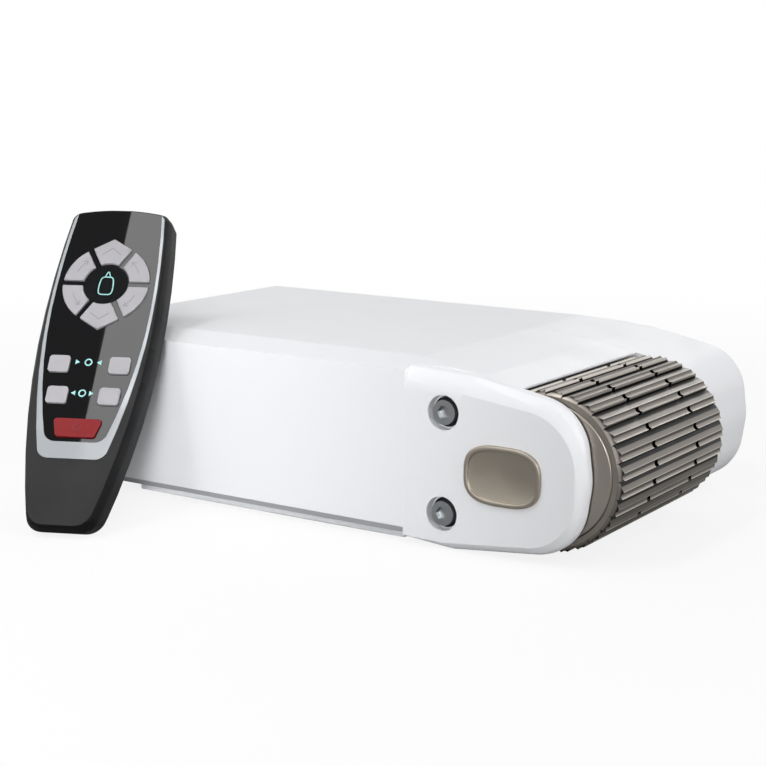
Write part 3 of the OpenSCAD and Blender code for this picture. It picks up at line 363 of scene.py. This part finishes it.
# Signs: pale ink on the window. Arrows that meet or part stand beside a wheel, between the
# side keys, and a caravan seen from above fills the middle of the ring.
def rib(path, width, low, high, loop):
    """Rectangle carried along a flat path, in mm: each corner is the path's point, moved by half
    the width along the mitred normal (a + b) / (1 + a.b) of the stretches a, b on either side."""
    steps = np.roll(path, -1, 0) - path if loop else np.diff(path, axis=0)
    steps /= np.linalg.norm(steps, axis=1)[:, None]
    left = np.stack([-steps[:, 1], steps[:, 0]], -1)
    before = np.roll(left, 1, 0) if loop else np.vstack([left[:1], left])
    after = left if loop else np.vstack([left, left[-1:]])
    mitre = width / 2 * (before + after) / (1 + np.sum(before * after, axis=1))[:, None]
    corners = np.stack([path - mitre, path + mitre, path + mitre, path - mitre], 1)
    heights = np.broadcast_to(np.array([low, low, high, high])[None, :, None], (len(path), 4, 1))
    return np.concatenate([corners, heights], -1) @ axes * MM, loop


def slab(outline, low, high):
    """Flat outline, in mm, raised from one height to another."""
    rings = np.array([np.column_stack([outline, np.full(len(outline), h)]) for h in (low, high)])
    return rings @ axes * MM, False


def arc(at, radius, start, end, count):
    """Points at + radius (cos a, sin a), with a from start to end in degrees."""
    a = np.radians(np.linspace(start, end, count))
    return np.array(at) + radius * np.stack([np.cos(a), np.sin(a)], -1)


window = span("handset_fascia")[1][2]
ring_keys = ["key_forward", "key_forward_left", "key_back_left",
             "key_back", "key_back_right", "key_forward_right"]
ring_at = np.mean([span(name).mean(0) for name in ring_keys], axis=0)[:2]
ink = (window - 0.03, window + 0.05)
wheel_radius, wheel_line = 1.85, 0.75
arrow = np.array([(1.3, 0), (-1.2, 1.5), (-1.2, -1.5)])
signs = []
for side, pitch, inward in (("engage", 6.2, 1), ("release", 5.1, -1)):
    row = (span("key_%s_left" % side).mean(0) + span("key_%s_right" % side).mean(0))[:2] / 2 + (-1.0, 1.8)
    signs.append(rib(arc(row, wheel_radius, 0, 360, 49)[:-1], wheel_line, *ink, True))
    for hand in (-1, 1):
        tip = -hand * inward
        signs.append(slab(row + (hand * pitch, 0) + tip * arrow, *ink))
# The caravan's body narrows towards its front and sits a little below the ring's middle.
caravan_half_x, caravan_half_z, caravan_power = 4.1, 5.7, 4.5
narrowing, drop = 0.14, 0.9
x, z = lozenge(caravan_half_x, caravan_half_z, caravan_power, turns)
body = ring_at + np.stack([x * (1 - narrowing * np.clip(z / caravan_half_z, 0, 1)), z - drop], -1)
drawbar = ring_at + np.array([(-1.5, 5.0), (-0.35, 8.0), (0.35, 8.0), (1.5, 5.0)])
signs += [rib(body, 0.65, *ink, True), rib(drawbar, 0.6, *ink, False)]
# Screen ink: pale blue-green and matt.
pale_ink = finish("pale_screen_ink", "#8CC4C2", 0.5, grain=0.5, relief=0.0)
shells("window_signs", signs, pale_ink, "handset")
# Printed film: matt black, a disc under the caravan sign that takes the glare off.
matt_film = finish("matt_black_film", "#0B0C0D", 0.8, grain=0.5, relief=0.0, Specular_IOR_Level=0.1)
film_radius = 12.7
film = slab(arc(ring_at, film_radius, 0, 360, 97)[:-1], window - 0.03, window + 0.02)
shells("ring_film", [film], matt_film, "handset")


# Key marks: fine raised lines moulded on the keys, an arrow for each way that they steer and a
# broken ring with a stroke on the red key.
mark_line, mark_radius, mark_sweep = 0.55, 19.3, 13
wing_length, wing_angle = 2.6, 0.65
mark_silicone = finish("mid_grey_silicone", "#838186", 0.58, grain=0.5, relief=0.0, IOR=1.42)
for name in ring_keys:
    low, high = span(name)
    key_at = (low + high)[:2] / 2
    turned = np.degrees(np.arctan2(*(key_at - ring_at)[::-1]))
    line = (high[2] - 0.05, high[2] + 0.14)
    if name in ("key_forward", "key_back"):
        way = 1 if name == "key_forward" else -1
        point = ring_at + np.array([(-5.5, 19.0), (0, 23.2), (5.5, 19.0)]) * (1, way)
        lines = [rib(point[::way], mark_line, *line, False)]
    else:
        ahead = 1 if name.startswith("key_forward") == (key_at[0] < ring_at[0]) else -1
        sweep = arc(ring_at, mark_radius, turned - mark_sweep, turned + mark_sweep, 17)
        tip = sweep[0] if ahead > 0 else sweep[-1]
        heading = np.radians(turned - mark_sweep * ahead - 90 * ahead)
        wings = [tip - wing_length * np.array([np.cos(heading + t), np.sin(heading + t)])
                 for t in (wing_angle, -wing_angle)]
        lines = [rib(sweep, mark_line, *line, False),
                 rib(np.array([wings[0], tip, wings[1]]), mark_line, *line, False)]
    shells("mark_" + name, lines, mark_silicone, name)
low, high = span("key_power")
power_at = (low + high)[:2] / 2 + (0, 0.6)
line = (high[2] - 0.05, high[2] + 0.12)
# The sign on the red key is filled with a darker red.
deep_red = finish("deep_red_silicone", "#5E1518", 0.5, grain=0.5, relief=0.0, IOR=1.42)
broken_ring = rib(arc(power_at, 2.1, 125, 415, 41), mark_line, *line, False)
stroke = rib(power_at + np.array([(0, 0.7), (0, 3.0)]), mark_line, *line, False)
shells("mark_key_power", [broken_ring, stroke], deep_red, "key_power")


# Studio: a wide pale floor and an even white room, with a narrow softbox whose edge shows in the
# handset's window, lamps in front, high on the left and on the roller's side, and two behind.
floor = bpy.data.objects.new("floor", bpy.data.meshes.new("floor"))
bpy.context.scene.collection.objects.link(floor)
reach = 30.0
floor.data.from_pydata([(-reach, -reach, 0), (reach, -reach, 0), (reach, reach, 0), (-reach, reach, 0)],
                       [], [(0, 1, 2, 3)])
paper = bpy.data.materials.new("white_paper")
paper.use_nodes = True
tree = paper.node_tree
tree.nodes.clear()
rays = add(tree, "ShaderNodeLightPath")
seen = add(tree, "ShaderNodeMath", {0: rays.outputs["Is Camera Ray"], 1: rays.outputs["Is Transmission Ray"]},
           operation="MAXIMUM")
glow = add(tree, "ShaderNodeEmission", {"Color": (1, 1, 1, 1), "Strength": 1.0})
tint = add(tree, "ShaderNodeMapRange", {"Value": seen.outputs[0], "To Min": 0.4, "To Max": 0.95})
lit = add(tree, "ShaderNodeBsdfDiffuse", {"Color": tint.outputs["Result"]})
# Far from the object the floor is as white as the room, so that no horizon shows. Near it, the
# metal mirrors the floor with its shadow.
spot = add(tree, "ShaderNodeTexCoord")
away = add(tree, "ShaderNodeVectorMath", {0: spot.outputs["Object"]}, operation="LENGTH")
fade = add(tree, "ShaderNodeMapRange", {"Value": away.outputs["Value"], "From Min": 0.35, "From Max": 1.0,
           "To Min": 0.84, "To Max": 1.0})
mirror = add(tree, "ShaderNodeMapRange", {"Value": away.outputs["Value"], "From Min": 0.6, "From Max": 2.5})
direct = add(tree, "ShaderNodeMath", {0: fade.outputs["Result"], 1: seen.outputs[0]}, operation="MULTIPLY")
bounced = add(tree, "ShaderNodeMath", {0: mirror.outputs["Result"], 1: rays.outputs["Is Glossy Ray"]},
              operation="MULTIPLY")
share = add(tree, "ShaderNodeMath", {0: direct.outputs[0], 1: bounced.outputs[0]}, operation="MAXIMUM")
dim = add(tree, "ShaderNodeMixShader", {"Fac": share.outputs[0], 1: lit.outputs[0], 2: glow.outputs[0]})
add(tree, "ShaderNodeOutputMaterial", {"Surface": dim.outputs[0]})
floor.data.materials.append(paper)

room = bpy.data.worlds.new("white_room")
bpy.context.scene.world = room
room.use_nodes = True
tree = room.node_tree
tree.nodes.clear()
rays = add(tree, "ShaderNodeLightPath")
seen = add(tree, "ShaderNodeMath", {0: rays.outputs["Is Camera Ray"], 1: rays.outputs["Is Glossy Ray"]},
           operation="MAXIMUM")
seen = add(tree, "ShaderNodeMath", {0: seen.outputs[0], 1: rays.outputs["Is Transmission Ray"]},
           operation="MAXIMUM")
level = add(tree, "ShaderNodeMapRange", {"Value": seen.outputs[0], "To Min": 0.35, "To Max": 1.0})
sky = add(tree, "ShaderNodeBackground", {"Color": (1, 1, 1, 1), "Strength": level.outputs["Result"]})
add(tree, "ShaderNodeOutputWorld", {"Surface": sky.outputs[0]})


def softbox(name, at, towards, width, height, radiance, lean=0):
    """A rectangular lamp that faces a point, rolled by lean degrees: energy = radiance x pi x area."""
    lamp = bpy.data.lights.new(name, "AREA")
    lamp.shape = "RECTANGLE"
    lamp.size = width
    lamp.size_y = height
    lamp.energy = radiance * math.pi * width * height
    box = bpy.data.objects.new(name, lamp)
    bpy.context.scene.collection.objects.link(box)
    back = np.array(at, float) - towards
    back /= np.linalg.norm(back)
    right = np.cross((0, 0, 1), back)
    right /= np.linalg.norm(right)
    up = np.cross(back, right)
    pose = np.eye(4)
    pose[:3] = np.column_stack([right, up, back, at])
    box.matrix_world = Matrix(pose) @ Matrix.Rotation(math.radians(lean), 4, "Z")
    box.visible_camera = False
    return box


# The window's middle, and the way in which the camera's look is mirrored by it.
pane = np.array([-0.0824, -0.1410, 0.1032])
mirrored = np.array([-0.1315, -0.4652, 0.8754])
shift = np.array([0.0755, 0.0206, 0.0222])
softbox("window_softbox", pane + 1.3 * mirrored + shift, pane, 0.16, 0.46, 18.0, lean=19.7)
front = softbox("front_softbox", (0.55, -1.25, 0.3), (-0.17, -0.11, 0.06), 0.4, 0.4, 1.22)
front.data.spread = math.radians(30)
softbox("high_softbox", (-0.3, -1.2, 0.9), (0.0, -0.1, 0.06), 0.6, 0.4, 3.6)
softbox("side_softbox", (1.2, -0.1, 0.4), (0.16, 0.0, 0.06), 0.8, 0.6, 3.6)
softbox("roller_softbox", (1.0, 0.1, 1.0), (0.16, 0.0, 0.06), 0.5, 0.5, 1.5)
softbox("back_softbox", (-0.12, 1.25, 0.62), (0.17, 0.0, 0.07), 0.6, 0.3, 1.9)
softbox("low_softbox", (-0.95, 1.05, 0.14), (0.0, 0.0, 0.05), 1.0, 0.24, 10.0).visible_glossy = False


# Camera: it stands where the photograph was taken, low and to the roller's side.
eye = np.array([0.5488, -0.8364, 0.2445])
bearing = math.radians(32.74)
tilt = math.radians(10.55)
roll = math.radians(0.6)
right = np.array([math.cos(bearing), math.sin(bearing), 0])
back = np.array([math.sin(bearing) * math.cos(tilt), -math.cos(bearing) * math.cos(tilt), math.sin(tilt)])
up = np.cross(back, right)
pose = np.eye(4)
pose[:3] = np.column_stack([math.cos(roll) * right + math.sin(roll) * up,
                            math.cos(roll) * up - math.sin(roll) * right, back, eye])
lens = bpy.data.cameras.new("camera")
lens.sensor_width = 36
lens.lens = 78.9
lens.clip_end = 100
camera = bpy.data.objects.new("camera", lens)
bpy.context.scene.collection.objects.link(camera)
camera.matrix_world = Matrix(pose)
bpy.context.scene.camera = camera
bpy.context.scene.view_settings.view_transform = "Standard"
